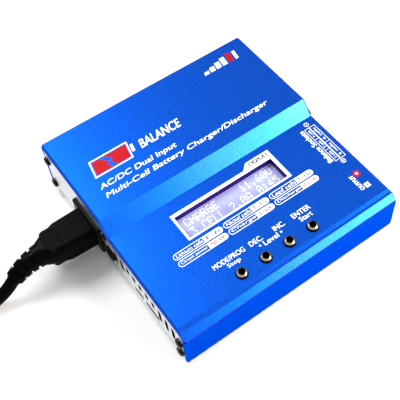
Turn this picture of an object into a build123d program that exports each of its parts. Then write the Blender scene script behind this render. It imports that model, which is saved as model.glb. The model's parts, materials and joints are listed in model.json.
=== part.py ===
"""Bench battery charger with a stepped aluminium case, a character display, four
push buttons, a row of side sockets, a fan and a plug-in mains lead.

The frame is in millimetres. X runs along the extruded case from the mains inlet side
(-X) to the battery side (+X), Y runs from the front edge (-Y) to the back wall (+Y),
and Z is up. The origin is the middle of the case on the surface that it stands on.
"""
from build123d import *
import math
import os

os.makedirs("parts", exist_ok=True)

# ---- driving dimensions of the case -------------------------------------------------
HALF_WIDTH = 68.8          # half of the extrusion's length, along X
HALF_DEPTH = 71.0          # half of the case's depth, along Y
FOOT_HEIGHT = 1.6          # the case's underside stands this high on its feet
LOW_TOP = 29.8             # top of the low front plateau
HIGH_TOP = 37.7            # top of the high back plateau
STEP_FOOT_Y = -0.3         # foot of the sloping step
STEP_HEAD_Y = 6.9          # head of the sloping step
FRONT_BEVEL = 3.1          # 45 degree bevel along the front top edge
BACK_BEVEL = 1.2           # 45 degree bevel along the back top edge
WALL = 2.2                 # wall of both extrusions
PARTING_Z = 24.9           # height of the joint between the two extrusions
PARTING_GAP = 0.2
END_BEVEL = 1.3            # bevel around the cut ends of the upper extrusion
UNDER_FILLET = 1.2
GROOVE_DEPTH = 0.4         # shallow groove beside the front bevel
SKIRT_THICK = 1.6          # inner skirts that locate the lower extrusion

INNER_FLOOR = FOOT_HEIGHT + WALL
INNER_LOW = LOW_TOP - WALL

# ---- end plates ---------------------------------------------------------------------
PLATE_INSET = 0.2
PLATE_THICK = 1.0
PLATE_GAP = 0.15
PLATE_FACE = HALF_WIDTH - PLATE_INSET
PLATE_BACK = PLATE_FACE - PLATE_THICK

SCREW_BOSS_RADIUS = 3.1
UPPER_SCREWS = [(-65.6, 17.3), (4.3, 27.3), (65.6, 28.0)]
LOWER_SCREWS = [(-65.6, 7.4), (65.6, 7.4)]
PLATE_SCREWS = UPPER_SCREWS + LOWER_SCREWS
TAP_RADIUS = 1.3
SHANK_RADIUS = 1.25
SCREW_HEAD_RADIUS = 2.8
SCREW_HEAD_HEIGHT = 1.8
SCREW_SHANK = 9.0

# ---- display ------------------------------------------------------------------------
WINDOW_CENTRE = (-1.55, -18.1)
WINDOW_SIZE = (64.1, 14.9)
GLASS_TOP = 26.0
LCD_BOARD_Z = 19.0
LCD_BOARD_SIZE = (80.0, 36.0)
LCD_FRAME_SIZE = (71.4, 25.6)
LCD_FRAME_WALL = 1.0
LCD_GLASS_SIZE = (69.0, 23.2)
LCD_GLASS_THICK = 2.2
BACKLIGHT_SIZE = (68.0, 22.6)
BACKLIGHT_THICK = 3.2

# ---- buttons ------------------------------------------------------------------------
BUTTON_Y = -58.6
BUTTON_FIRST_X = -24.9
BUTTON_PITCH = 15.24
BUTTON_COUNT = 4
BUTTON_RADIUS = 3.3
BUTTON_HOLE_RADIUS = 3.4
BUTTON_TOP = 32.2
BUTTON_XS = [BUTTON_FIRST_X + BUTTON_PITCH * i for i in range(BUTTON_COUNT)]

# ---- circuit boards -----------------------------------------------------------------
BOARD_THICK = 1.6
POWER_BOARD_Z = 6.2
POWER_BOARD_TOP = POWER_BOARD_Z + BOARD_THICK
CONTROL_BOARD_Z = 15.0
CONTROL_BOARD_TOP = CONTROL_BOARD_Z + BOARD_THICK
LOWER_STANDOFFS = [(-55.0, -53.0), (50.0, -53.0), (-55.0, 57.0), (50.0, 57.0)]
CONTROL_SPACERS = [(-46.0, -57.0), (36.0, -57.0), (-50.5, -7.0), (41.0, -7.0)]

# ---- left end: mains inlet, direct current jack, vents and two small ports ------------
INLET_Y = 21.3
INLET_Z = 17.1
INLET_FLANGE = (28.0, 22.0)
INLET_FLANGE_THICK = 2.2
INLET_BODY = (22.2, 17.6)
INLET_MOUTH = -(PLATE_FACE + INLET_FLANGE_THICK)
INLET_BOTTOM = -54.3
INLET_BACK = -52.0
CAVITY_LOBE = 4.4          # radius of the cavity's round lobe about each pin
PIN_RADIUS = 1.2
MAINS_PINS = [(INLET_Y + y, INLET_Z + z) for y, z in ((-5.0, -2.75), (0.0, 2.75), (5.0, -2.75))]

JACK_Y = 1.0
JACK_Z = 13.8
JACK_RING_RADIUS = 4.7
JACK_BORE_RADIUS = 3.1
JACK_PIN_RADIUS = 1.25

VENT_FIRST_Y = -5.0
VENT_PITCH = 6.1
VENT_COUNT = 10
VENT_WIDTH = 3.0
VENT_TOP = 22.8
VENT_LONG = 11.5
VENT_SHORT = 6.2
SHORT_VENTS = range(2, 7)
VENT_YS = [VENT_FIRST_Y - VENT_PITCH * i for i in range(VENT_COUNT)]

PORT_Z = 9.4
USB_Y = -26.4
USB_SIZE = (8.0, 3.2)
PROBE_Y = -39.4
PROBE_SIZE = (12.4, 3.4)
PORT_DEPTH = 6.0

# ---- right end: fan, balance sockets and output sockets -------------------------------
FAN_Y = 42.0
FAN_Z = 19.6
FAN_SIDE = 30.0
FAN_THICK = 10.0
FAN_BORE = 14.1
FAN_SCREW_SPAN = 24.0
FAN_FRONT = PLATE_BACK
FAN_HUB_RADIUS = 8.0
FAN_TIP_RADIUS = 13.5
FAN_BLADES = 7
FAN_AXLE_RADIUS = 1.0

OUTPUT_YS = [-47.0, -56.0]
OUTPUT_Z = 14.8
OUTPUT_FLANGE_RADIUS = 4.3
OUTPUT_BARREL_RADIUS = 3.6
OUTPUT_CONTACT_RADIUS = 2.9
OUTPUT_BORE_RADIUS = 2.05
OUTPUT_TIP = 70.8
OUTPUT_DEPTH = 16.0        # depth of the socket behind the plate

BALANCE_PITCH = 2.5
BALANCE_END = 2.45
BALANCE_HEIGHT = 5.8
BALANCE_WALL = 0.85
BALANCE_MOUTH = 69.0
BALANCE_REAR = 59.6
# number of pins, and the socket's centre in Y and Z
BALANCE_SOCKETS = [
    (3, -28.95, 22.6),
    (6, -14.8, 22.6),
    (4, -27.7, 15.4),
    (5, -13.55, 15.4),
    (7, -20.0, 8.2),
]

# ---- mains lead -----------------------------------------------------------------------
CORD_RADIUS = 3.5
CONNECTOR_FACE = -71.0
NOSE_LOBE = 4.1            # radius of the nose's round lobe about each pin
NOSE_TIP = -55.0
SHOULDER_X = -86.5
NECK_X = -100.0
PAD_X = -91.6              # middle of the ribbed grip pads on the connector
PAD_SIZE = (9.4, 14.6)
PAD_HEIGHT = 8.0           # the pads' faces stand this far from the connector's middle
PAD_RIBS = 5
PAD_RIB_PITCH = 1.5
RELIEF_LENGTH_X = 19.0
RELIEF_TURN = 34.0         # degrees that the strain relief droops by
RELIEF_LEAN = 17.0         # degrees that its droop leans towards the front
RELIEF_RINGS = 4

COIL_CENTRE = (-167.0, 64.3)
COIL_OUTER_RADIUS = 47.7
COIL_INNER_RADIUS = 26.4
COIL_HEIGHT = 14.0

CORD_ROUTE = [
    (-119.0, 19.6, 11.55),
    (-124.5, 18.5, 8.0),
    (-132.5, 18.2, 4.9),
    (-143.0, 18.6, 3.6),
    (-156.0, 19.4, 3.5),
    (-168.5, 20.1, 3.5),
]
TAIL_ROUTE = [
    (-211.0, 59.7, 10.5),
    (-211.3, 72.6, 10.5),
    (-208.6, 85.2, 10.5),
    (-203.0, 97.0, 10.5),
    (-194.4, 107.2, 10.7),
    (-183.0, 114.8, 11.1),
    (-169.5, 118.2, 11.5),
]
PLUG_Y = 118.4
PLUG_Z = 11.5
PLUG_RELIEF_X = -169.5
PLUG_BODY_X = -145.5
PLUG_FACE_X = -112.5


def save(piece, name):
    """Label a finished piece and write its STEP file."""
    piece.part.label = name
    export_step(piece.part, f"parts/{name}.step")


# The case's outer profile in Y and Z
CASE_PROFILE = [
    (-HALF_DEPTH, FOOT_HEIGHT),
    (-HALF_DEPTH, LOW_TOP - FRONT_BEVEL),
    (-HALF_DEPTH + FRONT_BEVEL, LOW_TOP),
    (STEP_FOOT_Y, LOW_TOP),
    (STEP_HEAD_Y, HIGH_TOP),
    (HALF_DEPTH - BACK_BEVEL, HIGH_TOP),
    (HALF_DEPTH, HIGH_TOP - BACK_BEVEL),
    (HALF_DEPTH, FOOT_HEIGHT),
]


def case_outline(inset=0.0):
    """Draw the case's profile, moved inwards by the inset, into the sketch in hand."""
    Polygon(*CASE_PROFILE, align=None)
    if inset:
        offset(amount=-inset, kind=Kind.INTERSECTION, mode=Mode.REPLACE)


# ======================================================================================
# Case
# ======================================================================================
with BuildPart() as upper_shell:
    with BuildSketch(Plane.YZ):
        case_outline()
    extrude(amount=HALF_WIDTH, both=True)
    chamfer(upper_shell.faces().filter_by(Axis.X).edges(), END_BEVEL)
    with BuildSketch(Plane.YZ):
        case_outline(WALL)
    extrude(amount=HALF_WIDTH, both=True, mode=Mode.SUBTRACT)
    with BuildSketch(Plane.XY.offset(PARTING_Z)):
        Rectangle(4 * HALF_WIDTH, 4 * HALF_DEPTH)
    extrude(amount=-PARTING_Z, mode=Mode.SUBTRACT)
    # shallow groove beside the front bevel
    with BuildSketch(Plane.YZ):
        Polygon(
            (-HALF_DEPTH + 6.7, LOW_TOP),
            (-HALF_DEPTH + 4.6, LOW_TOP - GROOVE_DEPTH),
            (-HALF_DEPTH + 3.5, LOW_TOP),
            align=None,
        )
    extrude(amount=HALF_WIDTH, both=True, mode=Mode.SUBTRACT)
    # inner skirts that locate the lower extrusion, and the screw channels
    skirt_y = HALF_DEPTH - WALL - 0.1 - SKIRT_THICK / 2
    with BuildSketch(Plane.YZ):
        with Locations((-skirt_y, 13.6)):
            Rectangle(SKIRT_THICK, 12.2, align=(Align.CENTER, Align.MIN))
        with Locations((skirt_y, 19.0)):
            Rectangle(SKIRT_THICK, 11.0, align=(Align.CENTER, Align.MIN))
        with Locations((-HALF_DEPTH + 2.9, PARTING_Z + 1.4), (HALF_DEPTH - 2.9, PARTING_Z + 1.4)):
            Rectangle(2.6, 2.8)
        with Locations(*UPPER_SCREWS):
            Circle(SCREW_BOSS_RADIUS)
    extrude(amount=PLATE_BACK, both=True)
    with BuildSketch(Plane.YZ):
        with Locations(*UPPER_SCREWS):
            Circle(TAP_RADIUS)
    extrude(amount=HALF_WIDTH, both=True, mode=Mode.SUBTRACT)
    # display window and button holes
    with BuildSketch(Plane.XY.offset(LOW_TOP + 1.0)):
        with Locations(WINDOW_CENTRE):
            RectangleRounded(*WINDOW_SIZE, 0.5)
        with Locations(*[(x, BUTTON_Y) for x in BUTTON_XS]):
            Circle(BUTTON_HOLE_RADIUS)
    extrude(amount=-(WALL + 2.0), mode=Mode.SUBTRACT)
save(upper_shell, "upper_shell")

with BuildPart() as lower_shell:
    with BuildSketch(Plane.YZ):
        case_outline()
    extrude(amount=HALF_WIDTH, both=True)
    under_edges = lower_shell.edges().filter_by(Axis.X).group_by(Axis.Z)[0]
    fillet(under_edges, UNDER_FILLET)
    with BuildSketch(Plane.YZ):
        case_outline(WALL)
    extrude(amount=HALF_WIDTH, both=True, mode=Mode.SUBTRACT)
    with BuildSketch(Plane.XY.offset(PARTING_Z - PARTING_GAP)):
        Rectangle(4 * HALF_WIDTH, 4 * HALF_DEPTH)
    extrude(amount=HIGH_TOP, mode=Mode.SUBTRACT)
    # screw channels along the two lower corners
    with BuildSketch(Plane.YZ):
        for side in (-1, 1):
            with Locations((side * 65.6, 7.4)):
                Circle(SCREW_BOSS_RADIUS)
            with Locations((side * 67.4, 5.4)):
                Rectangle(3.2, 3.6)
    extrude(amount=PLATE_BACK, both=True)
    with BuildSketch(Plane.YZ):
        with Locations(*LOWER_SCREWS):
            Circle(TAP_RADIUS)
    extrude(amount=HALF_WIDTH, both=True, mode=Mode.SUBTRACT)
    # the end plates cover the ends of the floor
    with BuildSketch(Plane.XY):
        with GridLocations(2 * HALF_WIDTH, 1.0, 2, 1):
            Rectangle(2 * (HALF_WIDTH - PLATE_BACK), 2 * (HALF_DEPTH - WALL))
    extrude(amount=INNER_FLOOR, mode=Mode.SUBTRACT)
    # standoffs that carry the power board
    with BuildSketch(Plane.XY.offset(INNER_FLOOR)):
        with Locations(*LOWER_STANDOFFS):
            Circle(3.0)
    extrude(amount=POWER_BOARD_Z - INNER_FLOOR)
    with BuildSketch(Plane.XY.offset(POWER_BOARD_Z)):
        with Locations(*LOWER_STANDOFFS):
            Circle(TAP_RADIUS)
    extrude(amount=-4.0, mode=Mode.SUBTRACT)
save(lower_shell, "lower_shell")

with BuildPart() as rubber_feet:
    with BuildSketch(Plane.XY):
        with GridLocations(112.0, 120.0, 2, 2):
            Circle(5.0)
    extrude(amount=FOOT_HEIGHT)
    chamfer(rubber_feet.edges().group_by(Axis.Z)[0], 0.5)
save(rubber_feet, "rubber_feet")

with BuildPart() as insulation_sheet:
    with BuildSketch(Plane.XY.offset(INNER_FLOOR)):
        Rectangle(124.0, 120.0)
        with Locations(*LOWER_STANDOFFS):
            Circle(3.3, mode=Mode.SUBTRACT)
    extrude(amount=0.4)
save(insulation_sheet, "insulation_sheet")


# ======================================================================================
# End plates and their screws
# ======================================================================================
def plate_outline():
    """The end plate's blank: the case's inner profile less its fitting gap, over the floor's end."""
    case_outline(WALL + PLATE_GAP)
    with Locations((0, FOOT_HEIGHT)):
        Rectangle(2 * (HALF_DEPTH - WALL - PLATE_GAP), 2 * WALL, align=(Align.CENTER, Align.MIN))
    with Locations(*PLATE_SCREWS):
        Circle(1.6, mode=Mode.SUBTRACT)


with BuildPart() as left_end_plate:
    with BuildSketch(Plane.YZ.offset(-PLATE_FACE)):
        plate_outline()
        with Locations((INLET_Y, INLET_Z)):
            Rectangle(INLET_BODY[0] + 0.3, INLET_BODY[1] + 0.3, mode=Mode.SUBTRACT)
        with Locations((JACK_Y, JACK_Z)):
            Circle(JACK_BORE_RADIUS + 1.0, mode=Mode.SUBTRACT)
        for i, y in enumerate(VENT_YS):
            length = VENT_SHORT if i in SHORT_VENTS else VENT_LONG
            with Locations((y, VENT_TOP - length / 2)):
                SlotOverall(length, VENT_WIDTH, rotation=90, mode=Mode.SUBTRACT)
        with Locations((USB_Y, PORT_Z)):
            RectangleRounded(USB_SIZE[0] + 0.3, USB_SIZE[1] + 0.3, 0.6, mode=Mode.SUBTRACT)
        with Locations((PROBE_Y, PORT_Z)):
            RectangleRounded(PROBE_SIZE[0] + 0.3, PROBE_SIZE[1] + 0.3, 0.6, mode=Mode.SUBTRACT)
    extrude(amount=PLATE_THICK)
save(left_end_plate, "left_end_plate")


def balance_width(pins):
    """The outside width of a balance socket with this many pins."""
    return BALANCE_PITCH * (pins - 1) + 2 * BALANCE_END


with BuildPart() as right_end_plate:
    with BuildSketch(Plane.YZ.offset(PLATE_FACE)):
        plate_outline()
        with Locations(*[(y, OUTPUT_Z) for y in OUTPUT_YS]):
            Circle(OUTPUT_BARREL_RADIUS + 0.1, mode=Mode.SUBTRACT)
        for pins, y, z in BALANCE_SOCKETS:
            with Locations((y, z)):
                Rectangle(balance_width(pins) + 0.3, BALANCE_HEIGHT + 0.3, mode=Mode.SUBTRACT)
        # air slots in front of the fan, cut to its round duct
        for i in range(-3, 4):
            y = FAN_Y + 3.7 * i
            length = 2 * math.sqrt((FAN_BORE - 0.6) ** 2 - (3.7 * i) ** 2)
            with Locations((y, FAN_Z)):
                SlotOverall(length, 2.4, rotation=90, mode=Mode.SUBTRACT)
        with Locations((FAN_Y, FAN_Z)):
            with GridLocations(FAN_SCREW_SPAN, FAN_SCREW_SPAN, 2, 2):
                Circle(1.4, mode=Mode.SUBTRACT)
    extrude(amount=-PLATE_THICK)
save(right_end_plate, "right_end_plate")

for side, name in ((-1, "left_plate_screws"), (1, "right_plate_screws")):
    with BuildPart() as plate_screws:
        with BuildSketch(Plane.YZ.offset(side * PLATE_FACE)):
            with Locations(*PLATE_SCREWS):
                Circle(SCREW_HEAD_RADIUS)
        extrude(amount=side * SCREW_HEAD_HEIGHT)
        outer_edges = plate_screws.edges().group_by(Axis.X)[0 if side < 0 else -1]
        fillet(outer_edges, 1.2)
        with BuildSketch(Plane.YZ.offset(side * (PLATE_FACE + SCREW_HEAD_HEIGHT))):
            with Locations(*PLATE_SCREWS):
                RegularPolygon(1.1, 6)
        extrude(amount=-side * 1.1, mode=Mode.SUBTRACT)
        with BuildSketch(Plane.YZ.offset(side * PLATE_FACE)):
            with Locations(*PLATE_SCREWS):
                Circle(SHANK_RADIUS)
        extrude(amount=-side * SCREW_SHANK)
    save(plate_screws, name)


# ======================================================================================
# Display module
# ======================================================================================
with BuildPart() as lcd_bezel:
    with BuildSketch(Plane.XY.offset(LCD_BOARD_Z + BOARD_THICK)):
        with Locations(WINDOW_CENTRE):
            RectangleRounded(*LCD_FRAME_SIZE, 0.8)
    extrude(amount=INNER_LOW - 0.2 - LCD_BOARD_Z - BOARD_THICK)
    with BuildSketch(Plane.XY.offset(LCD_BOARD_Z + BOARD_THICK)):
        with Locations(WINDOW_CENTRE):
            Rectangle(LCD_FRAME_SIZE[0] - 2 * LCD_FRAME_WALL, LCD_FRAME_SIZE[1] - 2 * LCD_FRAME_WALL)
    extrude(amount=GLASS_TOP + 0.1 - LCD_BOARD_Z - BOARD_THICK, mode=Mode.SUBTRACT)
    with BuildSketch(Plane.XY.offset(GLASS_TOP)):
        with Locations(WINDOW_CENTRE):
            Rectangle(WINDOW_SIZE[0] + 0.6, WINDOW_SIZE[1] + 0.6)
    extrude(amount=WALL, mode=Mode.SUBTRACT)
save(lcd_bezel, "lcd_bezel")

with BuildPart() as lcd_glass:
    with BuildSketch(Plane.XY.offset(GLASS_TOP)):
        with Locations(WINDOW_CENTRE):
            Rectangle(*LCD_GLASS_SIZE)
    extrude(amount=-LCD_GLASS_THICK)
save(lcd_glass, "lcd_glass")

with BuildPart() as lcd_backlight:
    with BuildSketch(Plane.XY.offset(LCD_BOARD_Z + BOARD_THICK)):
        with Locations(WINDOW_CENTRE):
            Rectangle(*BACKLIGHT_SIZE)
    extrude(amount=BACKLIGHT_THICK)
save(lcd_backlight, "lcd_backlight")

LCD_POSTS = [(-39.05, -33.6), (35.95, -33.6), (-39.05, -2.9), (35.95, -2.9)]

with BuildPart() as lcd_board:
    with BuildSketch(Plane.XY.offset(LCD_BOARD_Z)):
        with Locations(WINDOW_CENTRE):
            Rectangle(*LCD_BOARD_SIZE)
        with Locations(*LCD_POSTS):
            Circle(1.25, mode=Mode.SUBTRACT)
    extrude(amount=BOARD_THICK)
save(lcd_board, "lcd_board")

with BuildPart() as lcd_header:
    with BuildSketch(Plane.XY.offset(CONTROL_BOARD_TOP)):
        with Locations((-1.5, -3.0)):
            Rectangle(40.6, 2.5)
    extrude(amount=LCD_BOARD_Z - CONTROL_BOARD_TOP)
save(lcd_header, "lcd_header")


# ======================================================================================
# Buttons and their switches
# ======================================================================================
CAP_FLANGE_Z = 26.0
CAP_FLANGE_RADIUS = 4.3
CAP_FLANGE_THICK = 1.3
PLUNGER_RADIUS = 1.7
PLUNGER_TOP = 22.0
SWITCH_HEIGHT = 3.6
PLUNGER_BASE = 18.4

for i, x in enumerate(BUTTON_XS, start=1):
    with BuildPart() as button_cap:
        with BuildSketch(Plane.XY.offset(PLUNGER_TOP)):
            with Locations((x, BUTTON_Y)):
                Circle(PLUNGER_RADIUS)
        extrude(amount=CAP_FLANGE_Z - PLUNGER_TOP)
        with BuildSketch(Plane.XY.offset(CAP_FLANGE_Z)):
            with Locations((x, BUTTON_Y)):
                Circle(CAP_FLANGE_RADIUS)
        extrude(amount=CAP_FLANGE_THICK)
        with BuildSketch(Plane.XY.offset(CAP_FLANGE_Z)):
            with Locations((x, BUTTON_Y)):
                Circle(BUTTON_RADIUS)
        extrude(amount=BUTTON_TOP - CAP_FLANGE_Z)
        fillet(button_cap.edges().group_by(Axis.Z)[-1], 2.3)
    save(button_cap, f"button_cap_{i}")

    with BuildPart() as switch_plunger:
        with BuildSketch(Plane.XY.offset(PLUNGER_BASE)):
            with Locations((x, BUTTON_Y)):
                Circle(PLUNGER_RADIUS)
        extrude(amount=PLUNGER_TOP - PLUNGER_BASE)
    save(switch_plunger, f"switch_plunger_{i}")

with BuildPart() as switch_bodies:
    with BuildSketch(Plane.XY.offset(CONTROL_BOARD_TOP)):
        with Locations(*[(x, BUTTON_Y) for x in BUTTON_XS]):
            Rectangle(6.0, 6.0)
    extrude(amount=SWITCH_HEIGHT)
    with BuildSketch(Plane.XY.offset(CONTROL_BOARD_TOP + SWITCH_HEIGHT)):
        with Locations(*[(x, BUTTON_Y) for x in BUTTON_XS]):
            Circle(PLUNGER_RADIUS + 0.08)
    extrude(amount=-(CONTROL_BOARD_TOP + SWITCH_HEIGHT - PLUNGER_BASE + 0.6), mode=Mode.SUBTRACT)
save(switch_bodies, "switch_bodies")


# ======================================================================================
# Circuit boards and what stands on them
# ======================================================================================
with BuildPart() as control_board:
    with BuildSketch(Plane.XY.offset(CONTROL_BOARD_Z)):
        with Locations((-4.75, -31.2)):
            RectangleRounded(99.5, 61.4, 1.0)
        with Locations(*CONTROL_SPACERS):
            Circle(1.5, mode=Mode.SUBTRACT)
    extrude(amount=BOARD_THICK)
save(control_board, "control_board")

with BuildPart() as control_chip:
    with BuildSketch(Plane.XY.offset(CONTROL_BOARD_TOP)):
        with Locations((-2.0, -45.0)):
            Rectangle(12.0, 12.0)
    extrude(amount=1.4)
    chamfer(control_chip.edges().group_by(Axis.Z)[-1], 0.3)
save(control_chip, "control_chip")

BUZZER = (-47.8, -41.0)
BUZZER_HEIGHT = 8.0

with BuildPart() as buzzer:
    with BuildSketch(Plane.XY.offset(CONTROL_BOARD_TOP)):
        with Locations(BUZZER):
            Circle(5.5)
    extrude(amount=BUZZER_HEIGHT)
    with BuildSketch(Plane.XY.offset(CONTROL_BOARD_TOP + BUZZER_HEIGHT)):
        with Locations(BUZZER):
            Circle(1.2)
    extrude(amount=-3.0, mode=Mode.SUBTRACT)
save(buzzer, "buzzer")

# hexagonal spacers under the control board, and round posts from it to the display
with BuildPart() as board_spacers:
    with BuildSketch(Plane.XY.offset(POWER_BOARD_TOP)):
        with Locations(*CONTROL_SPACERS):
            RegularPolygon(2.9, 6)
            Circle(TAP_RADIUS, mode=Mode.SUBTRACT)
    extrude(amount=CONTROL_BOARD_Z - POWER_BOARD_TOP)
    with BuildSketch(Plane.XY.offset(CONTROL_BOARD_TOP)):
        with Locations(*LCD_POSTS):
            Circle(2.2)
    extrude(amount=LCD_BOARD_Z - CONTROL_BOARD_TOP)
    with BuildSketch(Plane.XY.offset(LCD_BOARD_Z)):
        with Locations(*LCD_POSTS):
            Circle(1.2)
    extrude(amount=BOARD_THICK + 0.6)
save(board_spacers, "board_spacers")

with BuildPart() as board_screws:
    for points, top in ((CONTROL_SPACERS, CONTROL_BOARD_TOP), (LOWER_STANDOFFS, POWER_BOARD_TOP)):
        with BuildSketch(Plane.XY.offset(top)):
            with Locations(*points):
                Circle(2.6)
        extrude(amount=1.8)
        with BuildSketch(Plane.XY.offset(top)):
            with Locations(*points):
                Circle(SHANK_RADIUS)
        extrude(amount=-(BOARD_THICK + 2.0))
save(board_screws, "board_screws")

with BuildPart() as power_board:
    with BuildSketch(Plane.XY.offset(POWER_BOARD_Z)):
        with Locations((-2.0, 1.5)):
            RectangleRounded(116.0, 119.0, 1.5)
        with Locations(*LOWER_STANDOFFS):
            Circle(1.5, mode=Mode.SUBTRACT)
    extrude(amount=BOARD_THICK)
save(power_board, "power_board")

# The transformer is an E core around the winding on its middle leg.
TRANSFORMER = (-14.0, 38.0)
CORE_SIZE = (32.0, 14.0, 25.0)
CORE_WINDOW = (7.5, 16.0)
CORE_LEG = 8.0
CORE_BASE = POWER_BOARD_TOP + 0.5
CORE_MIDDLE = CORE_BASE + CORE_SIZE[2] / 2

with BuildPart() as transformer_core:
    with BuildSketch(Plane.XZ.offset(-TRANSFORMER[1] - CORE_SIZE[1] / 2)):
        with Locations((TRANSFORMER[0], CORE_MIDDLE)):
            Rectangle(CORE_SIZE[0], CORE_SIZE[2])
        for side in (-1, 1):
            with Locations((TRANSFORMER[0] + side * (CORE_LEG + CORE_WINDOW[0]) / 2, CORE_MIDDLE)):
                Rectangle(*CORE_WINDOW, mode=Mode.SUBTRACT)
    extrude(amount=CORE_SIZE[1])
save(transformer_core, "transformer_core")

with BuildPart() as transformer_winding:
    with BuildSketch(Plane.XY.offset(CORE_MIDDLE - CORE_WINDOW[1] / 2 + 0.3)):
        with Locations(TRANSFORMER):
            RectangleRounded(CORE_LEG + 2 * CORE_WINDOW[0] - 0.8, 27.0, 4.0)
            Rectangle(CORE_LEG + 0.6, CORE_SIZE[1] + 0.6, mode=Mode.SUBTRACT)
    extrude(amount=CORE_WINDOW[1] - 0.6)
save(transformer_winding, "transformer_winding")

with BuildPart() as mains_capacitor:
    with BuildSketch(Plane.XY.offset(POWER_BOARD_TOP)):
        with Locations((-44.0, 48.0)):
            Circle(9.0)
    extrude(amount=25.0)
    fillet(mains_capacitor.edges().group_by(Axis.Z)[-1], 1.0)
save(mains_capacitor, "mains_capacitor")

with BuildPart() as filter_choke:
    with BuildSketch(Plane.XY.offset(POWER_BOARD_TOP)):
        with Locations((-36.0, 13.0)):
            RectangleRounded(17.0, 12.0, 2.0)
    extrude(amount=3.0)
    with BuildSketch(Plane.XZ.offset(-18.0)):
        with Locations((-36.0, POWER_BOARD_TOP + 10.0)):
            Circle(7.5)
            Circle(3.0, mode=Mode.SUBTRACT)
    extrude(amount=10.0)
save(filter_choke, "filter_choke")

with BuildPart() as filter_capacitor:
    with BuildSketch(Plane.XY.offset(POWER_BOARD_TOP)):
        with Locations((-36.0, 26.0)):
            RectangleRounded(18.0, 8.0, 0.8)
    extrude(amount=15.0)
save(filter_capacitor, "filter_capacitor")

with BuildPart() as rectifier:
    with BuildSketch(Plane.XY.offset(POWER_BOARD_TOP)):
        with Locations((-20.0, 59.0)):
            Rectangle(16.0, 4.0)
    extrude(amount=15.0)
    with BuildSketch(Plane.XZ.offset(-61.0)):
        with Locations((-20.0, POWER_BOARD_TOP + 10.5)):
            Circle(1.6)
    extrude(amount=4.0, mode=Mode.SUBTRACT)
save(rectifier, "rectifier")

HEAT_SINK = (32.0, 36.0)
SINK_BASE = 3.0
SINK_FIN_HEIGHT = 20.0

with BuildPart() as heat_sink:
    with BuildSketch(Plane.YZ.offset(HEAT_SINK[0] - 13.0)):
        with Locations((HEAT_SINK[1], POWER_BOARD_TOP + SINK_BASE / 2 + 0.2)):
            Rectangle(34.0, SINK_BASE)
        for i in range(7):
            with Locations((HEAT_SINK[1] - 16.2 + 5.4 * i, POWER_BOARD_TOP + 0.2 + SINK_FIN_HEIGHT / 2)):
                Rectangle(1.6, SINK_FIN_HEIGHT)
    extrude(amount=26.0)
save(heat_sink, "heat_sink")

with BuildPart() as power_transistors:
    with BuildSketch(Plane.XZ.offset(-HEAT_SINK[1] + 17.2)):
        for i in range(2):
            with Locations((HEAT_SINK[0] - 6.0 + 12.0 * i, POWER_BOARD_TOP + 9.0)):
                Rectangle(10.0, 15.0)
    extrude(amount=4.4)
save(power_transistors, "power_transistors")

with BuildPart() as output_capacitors:
    with BuildSketch(Plane.XY.offset(POWER_BOARD_TOP)):
        with Locations((-6.0, 12.0), (6.0, 12.0), (6.0, 24.0)):
            Circle(5.0)
    extrude(amount=18.0)
    fillet(output_capacitors.edges().group_by(Axis.Z)[-1], 0.8)
save(output_capacitors, "output_capacitors")

with BuildPart() as output_inductor:
    with BuildSketch(Plane.XY.offset(POWER_BOARD_TOP)):
        with Locations((10.6, 42.0)):
            Circle(8.0)
            Circle(3.0, mode=Mode.SUBTRACT)
    extrude(amount=9.0)
    fillet(output_inductor.edges().filter_by(GeomType.CIRCLE), 1.2)
save(output_inductor, "output_inductor")

with BuildPart() as balance_board:
    with BuildSketch(Plane.YZ.offset(BALANCE_REAR)):
        with Locations((-20.0, 15.4)):
            Rectangle(32.0, 21.6)
    extrude(amount=-BOARD_THICK)
save(balance_board, "balance_board")


# ======================================================================================
# Left end: mains inlet, jack and small ports
# ======================================================================================
def cloverleaf(lobe):
    """Draw the mains connection's outline: a round lobe about each pin, filled in between."""
    with Locations(*MAINS_PINS):
        Circle(lobe)
    Polygon(*MAINS_PINS, align=None)


with BuildPart() as inlet_housing:
    with BuildSketch(Plane.YZ.offset(-PLATE_FACE)):
        with Locations((INLET_Y, INLET_Z)):
            RectangleRounded(*INLET_FLANGE, 2.0)
    extrude(amount=-INLET_FLANGE_THICK)
    chamfer(inlet_housing.edges().group_by(Axis.X)[0], 0.6)
    with BuildSketch(Plane.YZ.offset(-PLATE_FACE)):
        with Locations((INLET_Y, INLET_Z)):
            Rectangle(*INLET_BODY)
    extrude(amount=PLATE_FACE + INLET_BACK)
    with BuildSketch(Plane.YZ.offset(INLET_BOTTOM)):
        cloverleaf(CAVITY_LOBE)
    extrude(amount=INLET_MOUTH - INLET_BOTTOM, mode=Mode.SUBTRACT)
    with BuildSketch(Plane.YZ.offset(INLET_BOTTOM)):
        with Locations(*MAINS_PINS):
            Circle(PIN_RADIUS + 0.05)
    extrude(amount=INLET_BACK - INLET_BOTTOM, mode=Mode.SUBTRACT)
save(inlet_housing, "inlet_housing")

with BuildPart() as inlet_pins:
    with BuildSketch(Plane.YZ.offset(INLET_MOUTH + 2.2)):
        with Locations(*MAINS_PINS):
            Circle(PIN_RADIUS)
    extrude(amount=INLET_BACK + 6.0 - INLET_MOUTH - 2.2)
save(inlet_pins, "inlet_pins")

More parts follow.
